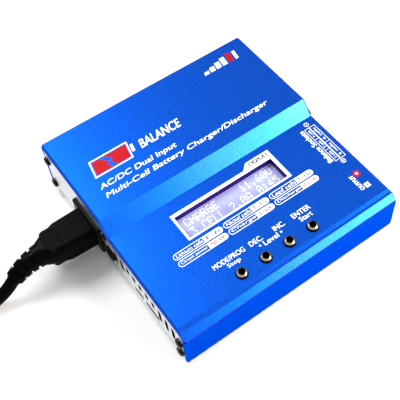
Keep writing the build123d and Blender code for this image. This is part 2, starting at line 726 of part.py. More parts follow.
with BuildPart() as dc_jack:
    with BuildSketch(Plane.YZ.offset(-PLATE_BACK)):
        with Locations((JACK_Y, JACK_Z)):
            Rectangle(9.2, 11.0)
    extrude(amount=12.0)
    with BuildSketch(Plane.YZ.offset(-PLATE_BACK)):
        with Locations((JACK_Y, JACK_Z)):
            Circle(JACK_BORE_RADIUS + 0.9)
    extrude(amount=-PLATE_THICK)
    with BuildSketch(Plane.YZ.offset(-PLATE_FACE)):
        with Locations((JACK_Y, JACK_Z)):
            Circle(JACK_RING_RADIUS)
    extrude(amount=-1.2)
    with BuildSketch(Plane.YZ.offset(-PLATE_FACE - 1.2)):
        with Locations((JACK_Y, JACK_Z)):
            Circle(JACK_BORE_RADIUS)
    extrude(amount=11.0, mode=Mode.SUBTRACT)
save(dc_jack, "dc_jack")

with BuildPart() as dc_jack_pin:
    with BuildSketch(Plane.YZ.offset(-PLATE_FACE - 1.2 + 11.0)):
        with Locations((JACK_Y, JACK_Z)):
            Circle(JACK_PIN_RADIUS)
    extrude(amount=-9.5)
    fillet(dc_jack_pin.edges().group_by(Axis.X)[0], 0.5)
save(dc_jack_pin, "dc_jack_pin")

with BuildPart() as usb_port:
    with BuildSketch(Plane.YZ.offset(-PLATE_FACE)):
        with Locations((USB_Y, PORT_Z)):
            RectangleRounded(*USB_SIZE, 0.7)
            RectangleRounded(USB_SIZE[0] - 0.8, USB_SIZE[1] - 0.8, 0.5, mode=Mode.SUBTRACT)
    extrude(amount=PORT_DEPTH)
    with BuildSketch(Plane.YZ.offset(-PLATE_FACE + PORT_DEPTH)):
        with Locations((USB_Y, PORT_Z)):
            RectangleRounded(*USB_SIZE, 0.7)
    extrude(amount=1.0)
    with BuildSketch(Plane.YZ.offset(-PLATE_FACE + PORT_DEPTH)):
        with Locations((USB_Y, PORT_Z + 0.3)):
            Rectangle(4.6, 0.7)
    extrude(amount=-5.0)
save(usb_port, "usb_port")

with BuildPart() as probe_port:
    with BuildSketch(Plane.YZ.offset(-PLATE_FACE)):
        with Locations((PROBE_Y, PORT_Z)):
            Rectangle(*PROBE_SIZE)
            Rectangle(PROBE_SIZE[0] - 1.4, PROBE_SIZE[1] - 1.0, mode=Mode.SUBTRACT)
    extrude(amount=PORT_DEPTH)
    with BuildSketch(Plane.YZ.offset(-PLATE_FACE + PORT_DEPTH)):
        with Locations((PROBE_Y, PORT_Z)):
            Rectangle(*PROBE_SIZE)
    extrude(amount=1.2)
    with BuildSketch(Plane.YZ.offset(-PLATE_FACE + PORT_DEPTH)):
        with Locations((PROBE_Y, PORT_Z)):
            with GridLocations(2.54, 1.0, 3, 1):
                Rectangle(0.64, 0.64)
    extrude(amount=-5.0)
save(probe_port, "probe_port")


# ======================================================================================
# Right end: fan, output sockets and balance sockets
# ======================================================================================
FAN_INNER = FAN_FRONT - FAN_THICK
FAN_BASE_THICK = 1.4
STRUT_WIDTH = 2.4

with BuildPart() as fan_frame:
    with BuildSketch(Plane.YZ.offset(FAN_INNER)):
        with Locations((FAN_Y, FAN_Z)):
            RectangleRounded(FAN_SIDE, FAN_SIDE, 2.0)
            Circle(FAN_BORE, mode=Mode.SUBTRACT)
            with GridLocations(FAN_SCREW_SPAN, FAN_SCREW_SPAN, 2, 2):
                Circle(1.2, mode=Mode.SUBTRACT)
    extrude(amount=FAN_THICK)
    with BuildSketch(Plane.YZ.offset(FAN_INNER)):
        with Locations((FAN_Y, FAN_Z)):
            Circle(FAN_HUB_RADIUS)
            with PolarLocations(0, 3):
                Rectangle(FAN_BORE + 0.4, STRUT_WIDTH, align=(Align.MIN, Align.CENTER))
    extrude(amount=FAN_BASE_THICK)
    with BuildSketch(Plane.YZ.offset(FAN_INNER + FAN_BASE_THICK)):
        with Locations((FAN_Y, FAN_Z)):
            Circle(FAN_AXLE_RADIUS)
    extrude(amount=5.5)
save(fan_frame, "fan_frame")

ROTOR_BACK = FAN_INNER + FAN_BASE_THICK + 0.4
ROTOR_FRONT = FAN_FRONT - 0.8
BLADE_CHORD = 7.6
BLADE_PITCH = 40.0

with BuildPart() as fan_rotor:
    with BuildSketch(Plane.YZ.offset(ROTOR_BACK)):
        with Locations((FAN_Y, FAN_Z)):
            Circle(FAN_HUB_RADIUS - 0.2)
    extrude(amount=ROTOR_FRONT - ROTOR_BACK)
    fillet(fan_rotor.edges().group_by(Axis.X)[-1], 0.8)
    for i in range(FAN_BLADES):
        turn = math.radians(360.0 * i / FAN_BLADES)
        outward = Vector(0, math.cos(turn), math.sin(turn))
        middle = Vector((ROTOR_BACK + ROTOR_FRONT) / 2, FAN_Y, FAN_Z)
        root = Plane(origin=middle + outward * (FAN_HUB_RADIUS - 1.0), x_dir=(1, 0, 0), z_dir=outward)
        with BuildSketch(root):
            Rectangle(BLADE_CHORD, 0.9, rotation=BLADE_PITCH)
        extrude(amount=FAN_TIP_RADIUS - FAN_HUB_RADIUS + 1.0)
    with BuildSketch(Plane.YZ.offset(ROTOR_BACK)):
        with Locations((FAN_Y, FAN_Z)):
            Circle(FAN_AXLE_RADIUS + 0.05)
    extrude(amount=5.6, mode=Mode.SUBTRACT)
save(fan_rotor, "fan_rotor")

with BuildPart() as fan_screws:
    with BuildSketch(Plane.YZ.offset(PLATE_FACE)):
        with Locations((FAN_Y, FAN_Z)):
            with GridLocations(FAN_SCREW_SPAN, FAN_SCREW_SPAN, 2, 2):
                Circle(2.2)
    extrude(amount=1.2)
    fillet(fan_screws.edges().group_by(Axis.X)[-1], 0.7)
    with BuildSketch(Plane.YZ.offset(PLATE_FACE)):
        with Locations((FAN_Y, FAN_Z)):
            with GridLocations(FAN_SCREW_SPAN, FAN_SCREW_SPAN, 2, 2):
                Circle(1.15)
    extrude(amount=-8.0)
save(fan_screws, "fan_screws")

for y, name in zip(OUTPUT_YS, ("output_socket_positive", "output_socket_negative")):
    with BuildPart() as output_socket:
        with BuildSketch(Plane.YZ.offset(PLATE_FACE)):
            with Locations((y, OUTPUT_Z)):
                Circle(OUTPUT_FLANGE_RADIUS)
        extrude(amount=OUTPUT_TIP - PLATE_FACE)
        fillet(output_socket.edges().group_by(Axis.X)[-1], 0.5)
        with BuildSketch(Plane.YZ.offset(PLATE_FACE)):
            with Locations((y, OUTPUT_Z)):
                Circle(OUTPUT_BARREL_RADIUS)
        extrude(amount=-OUTPUT_DEPTH)
        with BuildSketch(Plane.YZ.offset(PLATE_FACE - OUTPUT_DEPTH)):
            with Locations((y, OUTPUT_Z)):
                Circle(OUTPUT_CONTACT_RADIUS)
        extrude(amount=OUTPUT_DEPTH - 1.0, mode=Mode.SUBTRACT)
        with BuildSketch(Plane.YZ.offset(PLATE_FACE - 1.0)):
            with Locations((y, OUTPUT_Z)):
                Circle(OUTPUT_BORE_RADIUS + 0.15)
        extrude(amount=4.0, mode=Mode.SUBTRACT)
    save(output_socket, name)

with BuildPart() as output_contacts:
    with BuildSketch(Plane.YZ.offset(PLATE_FACE - 1.0)):
        with Locations(*[(y, OUTPUT_Z) for y in OUTPUT_YS]):
            Circle(OUTPUT_CONTACT_RADIUS)
    extrude(amount=-20.0)
    with BuildSketch(Plane.YZ.offset(PLATE_FACE - 1.0)):
        with Locations(*[(y, OUTPUT_Z) for y in OUTPUT_YS]):
            Circle(OUTPUT_BORE_RADIUS)
    extrude(amount=-OUTPUT_DEPTH, mode=Mode.SUBTRACT)
save(output_contacts, "output_contacts")

with BuildPart() as balance_sockets:
    with BuildSketch(Plane.YZ.offset(BALANCE_REAR)):
        for pins, y, z in BALANCE_SOCKETS:
            with Locations((y, z)):
                RectangleRounded(balance_width(pins), BALANCE_HEIGHT, 0.3)
    extrude(amount=BALANCE_MOUTH - BALANCE_REAR)
    with BuildSketch(Plane.YZ.offset(BALANCE_MOUTH)):
        for pins, y, z in BALANCE_SOCKETS:
            with Locations((y, z)):
                Rectangle(balance_width(pins) - 2 * BALANCE_WALL, BALANCE_HEIGHT - 2 * BALANCE_WALL)
            with Locations((y - 0.3 * balance_width(pins), z - BALANCE_HEIGHT / 2)):
                Rectangle(1.6, 2.4)
            with Locations((y + 0.3 * balance_width(pins), z - BALANCE_HEIGHT / 2)):
                Rectangle(1.6, 2.4)
    extrude(amount=-7.0, mode=Mode.SUBTRACT)
    with BuildSketch(Plane.YZ.offset(BALANCE_REAR)):
        for pins, y, z in BALANCE_SOCKETS:
            with Locations((y, z)):
                with GridLocations(BALANCE_PITCH, 1.0, pins, 1):
                    Rectangle(0.74, 0.74)
    extrude(amount=3.0, mode=Mode.SUBTRACT)
save(balance_sockets, "balance_sockets")

with BuildPart() as balance_pins:
    with BuildSketch(Plane.YZ.offset(BALANCE_REAR)):
        for pins, y, z in BALANCE_SOCKETS:
            with Locations((y, z)):
                with GridLocations(BALANCE_PITCH, 1.0, pins, 1):
                    Rectangle(0.64, 0.64)
    extrude(amount=BALANCE_MOUTH - BALANCE_REAR - 1.6)
save(balance_pins, "balance_pins")


# ======================================================================================
# Mains lead
# ======================================================================================
# x, width, height and corner radius of the connector's grip, from its face to its neck
CONNECTOR_SECTIONS = [
    (CONNECTOR_FACE, 20.5, 15.0, 3.0),
    (SHOULDER_X, 20.3, 14.8, 3.4),
    (SHOULDER_X - 9.0, 17.0, 13.2, 5.0),
    (NECK_X, 13.6, 13.0, 6.4),
]

with BuildPart() as connector_body:
    for near, far in zip(CONNECTOR_SECTIONS, CONNECTOR_SECTIONS[1:]):
        for x, width, height, corner in (near, far):
            with BuildSketch(Plane.YZ.offset(x)):
                with Locations((INLET_Y, INLET_Z)):
                    RectangleRounded(width, height, corner)
        loft()
    # raised grip pads on the top and the underside, with fine ribs across them
    with BuildSketch(Plane.XY.offset(INLET_Z)):
        with Locations((PAD_X, INLET_Y)):
            RectangleRounded(*PAD_SIZE, 2.4)
    extrude(amount=PAD_HEIGHT, both=True)
    for pad_face in (connector_body.faces().sort_by(Axis.Z)[-1], connector_body.faces().sort_by(Axis.Z)[0]):
        chamfer(pad_face.edges(), 0.45)
    with BuildSketch(Plane.XZ.offset(-INLET_Y - 5.2)):
        with Locations((PAD_X, INLET_Z)):
            with GridLocations(PAD_RIB_PITCH, 2 * PAD_HEIGHT, PAD_RIBS, 2):
                Rectangle(0.7, 1.2)
    extrude(amount=10.4, mode=Mode.SUBTRACT)
    with BuildSketch(Plane.YZ.offset(CONNECTOR_FACE)):
        cloverleaf(NOSE_LOBE)
    extrude(amount=NOSE_TIP - CONNECTOR_FACE)
    with BuildSketch(Plane.YZ.offset(NOSE_TIP)):
        with Locations(*MAINS_PINS):
            Circle(PIN_RADIUS + 0.35)
    extrude(amount=-15.5, mode=Mode.SUBTRACT)
save(connector_body, "connector_body")

RELIEF_RADIUS = RELIEF_LENGTH_X / math.sin(math.radians(RELIEF_TURN))


def relief_plane(share):
    """The plane square to the drooping strain relief at this share of its length."""
    turn = math.radians(RELIEF_TURN * share)
    lean = math.radians(RELIEF_LEAN)
    drop = RELIEF_RADIUS * (1 - math.cos(turn))
    return Plane(
        origin=(
            NECK_X - RELIEF_RADIUS * math.sin(turn),
            INLET_Y - drop * math.sin(lean),
            INLET_Z - drop * math.cos(lean),
        ),
        x_dir=(0, math.cos(lean), -math.sin(lean)),
        z_dir=(-math.cos(turn), -math.sin(turn) * math.sin(lean), -math.sin(turn) * math.cos(lean)),
    )


def relief_radius(share):
    """The strain relief's outside radius, tapering along its length."""
    return 6.6 - 1.8 * share


with BuildPart() as connector_relief:
    step = 1.0 / RELIEF_RINGS
    for i in range(RELIEF_RINGS):
        ring_start = i * step
        ring_end = ring_start + 0.68 * step
        with BuildSketch(relief_plane(ring_start)):
            Circle(relief_radius(ring_start))
        with BuildSketch(relief_plane(ring_end)):
            Circle(relief_radius(ring_end))
        loft()
        neck_end = (i + 1) * step if i < RELIEF_RINGS - 1 else 1.0
        with BuildSketch(relief_plane(ring_end)):
            Circle(relief_radius(ring_end) - 1.1)
        with BuildSketch(relief_plane(neck_end)):
            Circle(relief_radius(neck_end) - 1.1)
        loft()
save(connector_relief, "connector_relief")


def cord_tube(route, name):
    """Sweep the cord's round section along straight runs joined by tangent arcs."""
    runs = [(Vector(*b) - Vector(*a)) for a, b in zip(route, route[1:])]
    radii = []
    for before, after in zip(runs, runs[1:]):
        turn = math.radians(before.get_angle(after))
        radii.append(0.45 * min(before.length, after.length) / math.tan(turn / 2))
    with BuildPart() as tube:
        with BuildLine() as path:
            FilletPolyline(*route, radius=radii)
        with BuildSketch(Plane(origin=route[0], z_dir=runs[0])):
            Circle(CORD_RADIUS)
        sweep(path=path.line)
    length = sum(edge.length for edge in path.edges())
    print(name, "radii", [round(r, 1) for r in radii], "length", round(length, 1))
    print("volume", round(tube.part.volume, 1), "of", round(math.pi * CORD_RADIUS**2 * length, 1))
    save(tube, name)


cord_tube(CORD_ROUTE, "mains_cord")
cord_tube(TAIL_ROUTE, "mains_cord_tail")

with BuildPart() as mains_cord_coil:
    with BuildSketch(Plane.XY):
        with Locations(COIL_CENTRE):
            Circle(COIL_OUTER_RADIUS)
            Circle(COIL_INNER_RADIUS, mode=Mode.SUBTRACT)
    extrude(amount=COIL_HEIGHT)
    fillet(mains_cord_coil.edges().filter_by(GeomType.CIRCLE), 3.0)
save(mains_cord_coil, "mains_cord_coil")


# x, width, height and corner radius of the plug's body, from its face to its neck
PLUG_SECTIONS = [
    (PLUG_FACE_X, 26.0, 23.0, 5.0),
    (PLUG_FACE_X - 12.0, 25.0, 22.4, 5.0),
    (PLUG_FACE_X - 22.0, 21.0, 18.0, 6.0),
    (PLUG_BODY_X, 12.4, 12.4, 6.1),
]

with BuildPart() as mains_plug:
    for near, far in zip(PLUG_SECTIONS, PLUG_SECTIONS[1:]):
        for x, width, height, corner in (near, far):
            with BuildSketch(Plane.YZ.offset(x)):
                with Locations((PLUG_Y, PLUG_Z)):
                    RectangleRounded(width, height, corner)
        loft()
    relief_step = (PLUG_BODY_X - PLUG_RELIEF_X) / 6
    for i in range(6):
        ring_x = PLUG_BODY_X - relief_step * i
        with BuildSketch(Plane.YZ.offset(ring_x)):
            with Locations((PLUG_Y, PLUG_Z)):
                Circle(6.0 - 0.22 * i)
        extrude(amount=-relief_step * 0.66)
        with BuildSketch(Plane.YZ.offset(ring_x)):
            with Locations((PLUG_Y, PLUG_Z)):
                Circle(5.0 - 0.16 * i)
        extrude(amount=-relief_step)
save(mains_plug, "mains_plug")

with BuildPart() as plug_blades:
    with BuildSketch(Plane.YZ.offset(PLUG_FACE_X)):
        with Locations((PLUG_Y, PLUG_Z + 3.0)):
            with GridLocations(12.7, 1.0, 2, 1):
                Rectangle(1.5, 6.3)
    extrude(amount=17.5)
    with BuildSketch(Plane.YZ.offset(PLUG_FACE_X)):
        with Locations((PLUG_Y, PLUG_Z - 7.0)):
            Circle(2.4)
    extrude(amount=20.0)
save(plug_blades, "plug_blades")
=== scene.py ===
import json
import math

import bmesh
import bpy
from mathutils import Matrix, Vector


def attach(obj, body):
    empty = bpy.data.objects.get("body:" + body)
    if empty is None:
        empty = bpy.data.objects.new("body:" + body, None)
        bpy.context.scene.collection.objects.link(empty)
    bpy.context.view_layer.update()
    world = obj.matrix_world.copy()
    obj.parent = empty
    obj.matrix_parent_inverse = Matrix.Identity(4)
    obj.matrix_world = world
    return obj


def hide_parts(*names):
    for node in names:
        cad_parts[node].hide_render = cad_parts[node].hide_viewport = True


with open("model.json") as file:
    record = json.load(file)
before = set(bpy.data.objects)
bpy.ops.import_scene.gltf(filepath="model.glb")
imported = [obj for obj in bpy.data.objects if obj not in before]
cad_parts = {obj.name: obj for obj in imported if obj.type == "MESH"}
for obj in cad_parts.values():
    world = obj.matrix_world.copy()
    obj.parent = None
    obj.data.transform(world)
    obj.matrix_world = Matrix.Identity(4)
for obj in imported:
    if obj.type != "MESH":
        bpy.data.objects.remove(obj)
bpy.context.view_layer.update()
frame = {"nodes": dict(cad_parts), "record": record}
nodes = frame["nodes"]
scene = bpy.context.scene

# The cord, printing and display are placed in millimetres, the camera, floor and lights in metres
MM = 0.001
CASE = "charger"
LEAD = "mains_lead"


# ---- camera ---------------------------------------------------------------------------
CAMERA_PLACE = Vector((-0.1297, -0.20965, 0.3693))
CAMERA_RIGHT = Vector((0.81186, -0.58199, -0.04659))
CAMERA_UP = Vector((0.50206, 0.65516, 0.56454))


def make_camera():
    """A camera in front of the case's left half, looking down on it from above."""
    data = bpy.data.cameras.new("camera")
    data.lens = 68.95
    data.sensor_width = 36.0
    data.shift_x = -0.040
    data.shift_y = -0.0165
    data.clip_start = 0.01
    camera = bpy.data.objects.new("camera", data)
    scene.collection.objects.link(camera)
    back = CAMERA_RIGHT.cross(CAMERA_UP)
    axes = Matrix((CAMERA_RIGHT, CAMERA_UP, back)).transposed()
    camera.matrix_world = Matrix.Translation(CAMERA_PLACE) @ axes.to_4x4()
    scene.camera = camera


make_camera()


# ---- mains cord -----------------------------------------------------------------------
CORD_DIAMETER = 7.0 * MM
RELIEF_START = (-100.0, 21.3, 17.1)
RELIEF_BEND = (-110.4, 21.3, 17.1)
CORD_ROUTE = [
    (-119.0, 19.6, 11.55),
    (-124.5, 18.5, 8.0),
    (-132.5, 18.2, 4.9),
    (-143.0, 18.6, 3.6),
    (-156.0, 19.4, 3.5),
]
TAIL_ROUTE = [
    (-211.3, 72.6, 10.5),
    (-208.6, 85.2, 10.5),
    (-203.0, 97.0, 10.5),
    (-194.4, 107.2, 10.7),
    (-183.0, 114.8, 11.1),
    (-169.5, 118.2, 11.5),
    (-158.0, 118.4, 11.5),
]
COIL_CENTRE = (-167.0, 64.3)
COIL_START_ANGLE = 268.0
COIL_TURN = 1522.0         # degrees wound, clockwise from above
COIL_STEP = 15.0
CLIMB_START = 715.0
CLIMB_END = 795.0
LAYERS = (3.5, 10.5)
POINT_RADIUS_SCALE = 1.0   # the points carry the cord's radius, which keeps the curve's box true
OUTER_TURN = 44.2
INNER_TURN = 30.0


def coil_point(turned):
    """A control point of the coil: a flat spiral inwards, a climb, and a spiral back above it."""
    if turned < CLIMB_START:
        radius = OUTER_TURN - (OUTER_TURN - INNER_TURN) * turned / CLIMB_START
        height = LAYERS[0]
    elif turned < CLIMB_END:
        radius = INNER_TURN
        share = (turned - CLIMB_START) / (CLIMB_END - CLIMB_START)
        height = LAYERS[0] + (LAYERS[1] - LAYERS[0]) * share
    else:
        share = (turned - CLIMB_END) / (COIL_TURN - CLIMB_END)
        radius = INNER_TURN + (OUTER_TURN - INNER_TURN) * share
        height = LAYERS[1]
    # the curve touches the middles of the straight lines between its control points
    radius /= math.cos(math.radians(COIL_STEP / 2))
    angle = math.radians(COIL_START_ANGLE - turned)
    return (
        COIL_CENTRE[0] + radius * math.cos(angle),
        COIL_CENTRE[1] + radius * math.sin(angle),
        height,
    )


def make_cord():
    """The whole lead from the connector's neck to the plug, as one smooth curve."""
    steps = int(COIL_TURN // COIL_STEP)
    coil = [coil_point(COIL_STEP * i) for i in range(steps + 1)]
    points = [RELIEF_START, RELIEF_BEND, *CORD_ROUTE, *coil, *TAIL_ROUTE]
    curve = bpy.data.curves.new("cord", "CURVE")
    curve.dimensions = "3D"
    curve.bevel_depth = POINT_RADIUS_SCALE
    curve.bevel_resolution = 8
    curve.resolution_u = 8
    curve.use_fill_caps = True
    spline = curve.splines.new("NURBS")
    spline.points.add(len(points) - 1)
    for point, place in zip(spline.points, points):
        point.co = (place[0] * MM, place[1] * MM, place[2] * MM, 1.0)
        point.radius = CORD_DIAMETER / 2
    spline.order_u = 3
    spline.use_endpoint_u = True
    piece = bpy.data.objects.new("mains_cord_line", curve)
    scene.collection.objects.link(piece)
    return piece


cord = make_cord()
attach(cord, LEAD)
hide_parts("mains_cord", "mains_cord_coil", "mains_cord_tail")


# ---- materials ------------------------------------------------------------------------
NOISE_LOW = 0.3            # nearly all of a noise's values lie between these two
NOISE_HIGH = 0.7
NOISE_DETAIL = 3.0


def darker(colour, share):
    """The colour at this share of its brightness."""
    return tuple(share * c for c in colour)


class Surface:
    """A material under construction: its Principled shader and short ways to add detail."""

    def __init__(self, name, colour, roughness, metallic=0.0):
        self.material = bpy.data.materials.new(name)
        self.material.use_nodes = True
        self.tree = self.material.node_tree
        self.shader = self.tree.nodes["Principled BSDF"]
        self.shader.inputs["Base Color"].default_value = (*colour, 1.0)
        self.shader.inputs["Roughness"].default_value = roughness
        self.shader.inputs["Metallic"].default_value = metallic
        self.place = self.tree.nodes.new("ShaderNodeTexCoord").outputs["Object"]

    def set(self, **values):
        """Set sockets of the shader by name, with _ for a space."""
        for name, value in values.items():
            self.shader.inputs[name.replace("_", " ")].default_value = value

    def stretched(self, stretch):
        """The object's coordinates, stretched along each axis."""
        mapping = self.tree.nodes.new("ShaderNodeMapping")
        mapping.inputs["Scale"].default_value = stretch
        self.tree.links.new(self.place, mapping.inputs["Vector"])
        return mapping.outputs["Vector"]

    def noise(self, scale, stretch=(1, 1, 1)):
        """Noise with this many features a metre."""
        texture = self.tree.nodes.new("ShaderNodeTexNoise")
        texture.inputs["Scale"].default_value = scale
        texture.inputs["Detail"].default_value = NOISE_DETAIL
        self.tree.links.new(self.stretched(stretch), texture.inputs["Vector"])
        return texture.outputs["Fac"]

    def ranged(self, source, low, high):
        """The noise's middle range, spread from low to high."""
        spread = self.tree.nodes.new("ShaderNodeMapRange")
        limits = {"From Min": NOISE_LOW, "From Max": NOISE_HIGH, "To Min": low, "To Max": high}
        for name, value in limits.items():
            spread.inputs[name].default_value = value
        self.tree.links.new(source, spread.inputs["Value"])
        return spread.outputs["Result"]

    def paint(self, source, stops):
        """Colour the base by the source, blending from one stop's colour to the next."""
        ramp = self.tree.nodes.new("ShaderNodeValToRGB")
        for _ in range(len(stops) - 2):
            ramp.color_ramp.elements.new(0.5)
        for element, (position, colour) in zip(ramp.color_ramp.elements, stops):
            element.position = position
            element.color = (*colour, 1.0)
        self.tree.links.new(source, ramp.inputs["Fac"])
        self.tree.links.new(ramp.outputs["Color"], self.shader.inputs["Base Color"])

    def tint(self, source, first, second):
        """Colour the base between two colours by the noise."""
        self.paint(source, ((NOISE_LOW, first), (NOISE_HIGH, second)))

    def rough(self, source, low, high):
        """Vary the roughness between low and high by the noise."""
        self.tree.links.new(self.ranged(source, low, high), self.shader.inputs["Roughness"])

    def bump(self, source, height_mm):
        """Raise the surface by the source."""
        bump = self.tree.nodes.new("ShaderNodeBump")
        bump.inputs["Strength"].default_value = 1.0
        bump.inputs["Distance"].default_value = height_mm * MM
        self.tree.links.new(source, bump.inputs["Height"])
        self.tree.links.new(bump.outputs["Normal"], self.shader.inputs["Normal"])


def moulded(name, colour, roughness, grain=2600.0, height_mm=0.03):
    """Moulded plastic or rubber with a fine grain."""
    surface = Surface(name, colour, roughness)
    surface.tint(surface.noise(90.0), darker(colour, 0.8), colour)
    surface.rough(surface.noise(300.0), roughness - 0.06, roughness + 0.08)
    surface.bump(surface.noise(grain), height_mm)
    return surface


def metal(name, colour, roughness, stretch=(1, 1, 1)):
    """Bare or plated metal with a faint machined grain."""
    surface = Surface(name, colour, roughness, 1.0)
    surface.tint(surface.noise(120.0, stretch), darker(colour, 0.85), colour)
    surface.rough(surface.noise(700.0, stretch), roughness - 0.06, roughness + 0.08)
    surface.bump(surface.noise(3000.0, stretch), 0.01)
    return surface


def anodised_blue(name, coat, edge_green):
    """Blue anodised aluminium: fine sparkling grain under a seal of this weight."""
    surface = Surface(name, (0.001, 0.1, 0.68), 0.34, 1.0)
    surface.tint(surface.noise(1300.0), (0.0005, 0.08, 0.58), (0.0015, 0.115, 0.76))
    surface.rough(surface.noise(700.0), 0.31, 0.4)
    surface.bump(surface.noise(3600.0), 0.012)
    surface.set(Specular_Tint=(0.0, edge_green, 0.8, 1.0), Coat_Weight=coat, Coat_Roughness=0.18)
    return surface


PLATE_FACE = 68.5 * MM     # from the middle of the case to just under a plate's outer face
# near-black painted shade for the walls of the slots
PAINTED_SLOT_SHADE = (0.004, 0.004, 0.005)


def punched_plate():
    """Satin plate with painted shade: near black wherever it lies deeper than its outer face, as
    in its slots.
    """
    surface = metal("satin_plate", (0.82, 0.84, 0.86), 0.34, (1, 0.1, 1))
    split = surface.tree.nodes.new("ShaderNodeSeparateXYZ")
    surface.tree.links.new(surface.place, split.inputs["Vector"])
    away = surface.tree.nodes.new("ShaderNodeMath")
    away.operation = "ABSOLUTE"
    surface.tree.links.new(split.outputs["X"], away.inputs[0])
    outside = surface.tree.nodes.new("ShaderNodeMath")
    outside.operation = "GREATER_THAN"
    outside.inputs[1].default_value = PLATE_FACE
    surface.tree.links.new(away.outputs[0], outside.inputs[0])
    mix = surface.tree.nodes.new("ShaderNodeMix")
    mix.data_type = "RGBA"
    colour = surface.shader.inputs["Base Color"]
    mix.inputs["A"].default_value = (*PAINTED_SLOT_SHADE, 1.0)
    surface.tree.links.new(outside.outputs[0], mix.inputs["Factor"])
    surface.tree.links.new(colour.links[0].from_socket, mix.inputs["B"])
    surface.tree.links.new(mix.outputs["Result"], colour)
    return surface


def circuit_board():
    """Green solder resist with faint lighter traces."""
    surface = Surface("circuit_board", (0.01, 0.16, 0.06), 0.35)
    surface.tint(surface.noise(420.0, (1, 0.2, 1)), (0.008, 0.12, 0.045), (0.02, 0.22, 0.09))
    surface.rough(surface.noise(600.0), 0.28, 0.42)
    surface.bump(surface.noise(900.0), 0.02)
    return surface


def display_glass():
    """The lit lavender face of the display, faintly uneven."""
    surface = Surface("display_face", (0.33, 0.36, 0.64), 0.18)
    surface.tint(surface.noise(40.0), (0.29, 0.3, 0.6), (0.37, 0.43, 0.68))
    surface.rough(surface.noise(500.0), 0.14, 0.24)
    surface.bump(surface.noise(60.0), 0.01)
    return surface


def printed(name, colour):
    """Screen-printed ink."""
    surface = Surface(name, colour, 0.45)
    surface.set(Specular_IOR_Level=0.15)
    surface.tint(surface.noise(700.0), darker(colour, 0.93), colour)
    surface.rough(surface.noise(900.0), 0.38, 0.52)
    surface.bump(surface.noise(5000.0), 0.004)
    return surface


def gloss_black():
    """The polished black caps of the buttons, with a warm metal band round their shoulders that
    is a painted highlight.
    """
    surface = moulded("button_black", (0.001, 0.001, 0.001), 0.12, 400.0, 0.003)
    shape = surface.tree.nodes.new("ShaderNodeNewGeometry")
    split = surface.tree.nodes.new("ShaderNodeSeparateXYZ")
    surface.tree.links.new(shape.outputs["Normal"], split.inputs["Vector"])
    black = (0.001, 0.001, 0.001)
    # painted highlight: the warm metal band round the shoulders, set by how far the surface faces
    # up
    highlight_tan = (0.62, 0.5, 0.36)
    stops = ((0.48, black), (0.6, highlight_tan), (0.84, highlight_tan), (0.91, black))    # by how far it faces up
    surface.paint(split.outputs["Z"], stops)
    surface.set(Metallic=1.0, Specular_Tint=(0.1, 0.085, 0.065, 1.0))
    return surface


def violet_shade_paint():
    """The black round the display, painted deep violet for the shade and backlight glow in the
    window's recess, with little sheen.
    """
    surface = moulded("bezel_violet_shade", (0.022, 0.001, 0.13), 0.45)
    surface.set(Specular_IOR_Level=0.06)
    return surface


def soft_black(name, roughness, grain=2600.0, sheen=0.06):
    """Deep black plastic or rubber that keeps only a weak sheen."""
    surface = moulded(name, (0.001, 0.001, 0.0011), roughness, grain)
    surface.set(Specular_IOR_Level=sheen)
    return surface


SURFACES = {
    "blue_anodised": anodised_blue("anodised_blue", 0.22, 0.15),
    "plate_silver": punched_plate(),
    "black_steel": metal("black_screw", (0.022, 0.018, 0.014), 0.24),
    "zinc_steel": metal("zinc_screw", (0.62, 0.63, 0.65), 0.3),
    "foot_rubber": soft_black("foot_rubber", 0.75),
    "clear_film": moulded("insulation_film", (0.62, 0.6, 0.5), 0.4),
    "black_metal": violet_shade_paint(),
    "display_glass": display_glass(),
    "display_diffuser": moulded("display_diffuser", (0.7, 0.7, 0.9), 0.5),
    "board_green": circuit_board(),
    "black_plastic": soft_black("component_black", 0.5),
    "brass_plated": metal("brass_contact", (0.83, 0.62, 0.27), 0.25),
    "ferrite": moulded("ferrite", (0.05, 0.05, 0.055), 0.6),
    "winding_tape": moulded("winding_tape", (0.75, 0.55, 0.08), 0.35),
    "capacitor_sleeve": moulded("capacitor_sleeve", (0.02, 0.03, 0.09), 0.3),
    "capacitor_yellow": moulded("film_capacitor", (0.75, 0.5, 0.05), 0.35),
    "heat_sink_aluminium": metal("heat_sink", (0.6, 0.61, 0.63), 0.4, (0.1, 1, 1)),
    "socket_black": soft_black("socket_black", 0.4),
    "socket_white": moulded("socket_nylon", (0.8, 0.78, 0.7), 0.5),
    "socket_red": moulded("socket_red", (0.6, 0.01, 0.01), 0.35),
    "contact_metal": metal("tinned_contact", (0.78, 0.78, 0.79), 0.2),
    "fan_black": soft_black("fan_black", 0.45),
    "button_black": gloss_black(),
    "cord_rubber": soft_black("cord_rubber", 0.3, 1500.0, 0.025),
}
LOWER_BLUE = anodised_blue("anodised_blue_unsealed", 0.0, 0.42)
INK_WHITE = printed("ink_white", (0.86, 0.9, 0.95))
INK_RED = printed("ink_red", (0.36, 0.0, 0.003))
INK_DARK = printed("ink_dark", (0.05, 0.07, 0.08))


def paint_nodes():
    """Give every CAD node the surface of its slot, and the lower extrusion its own blue."""
    for row in frame["record"]["subparts"]:
        name = row["node"]
        surface = LOWER_BLUE if name == "lower_shell" else SURFACES[row["material_slot"]]
        node = nodes[name]
        node.data.materials.clear()
        node.data.materials.append(surface.material)


paint_nodes()
cord.data.materials.append(SURFACES["cord_rubber"].material)


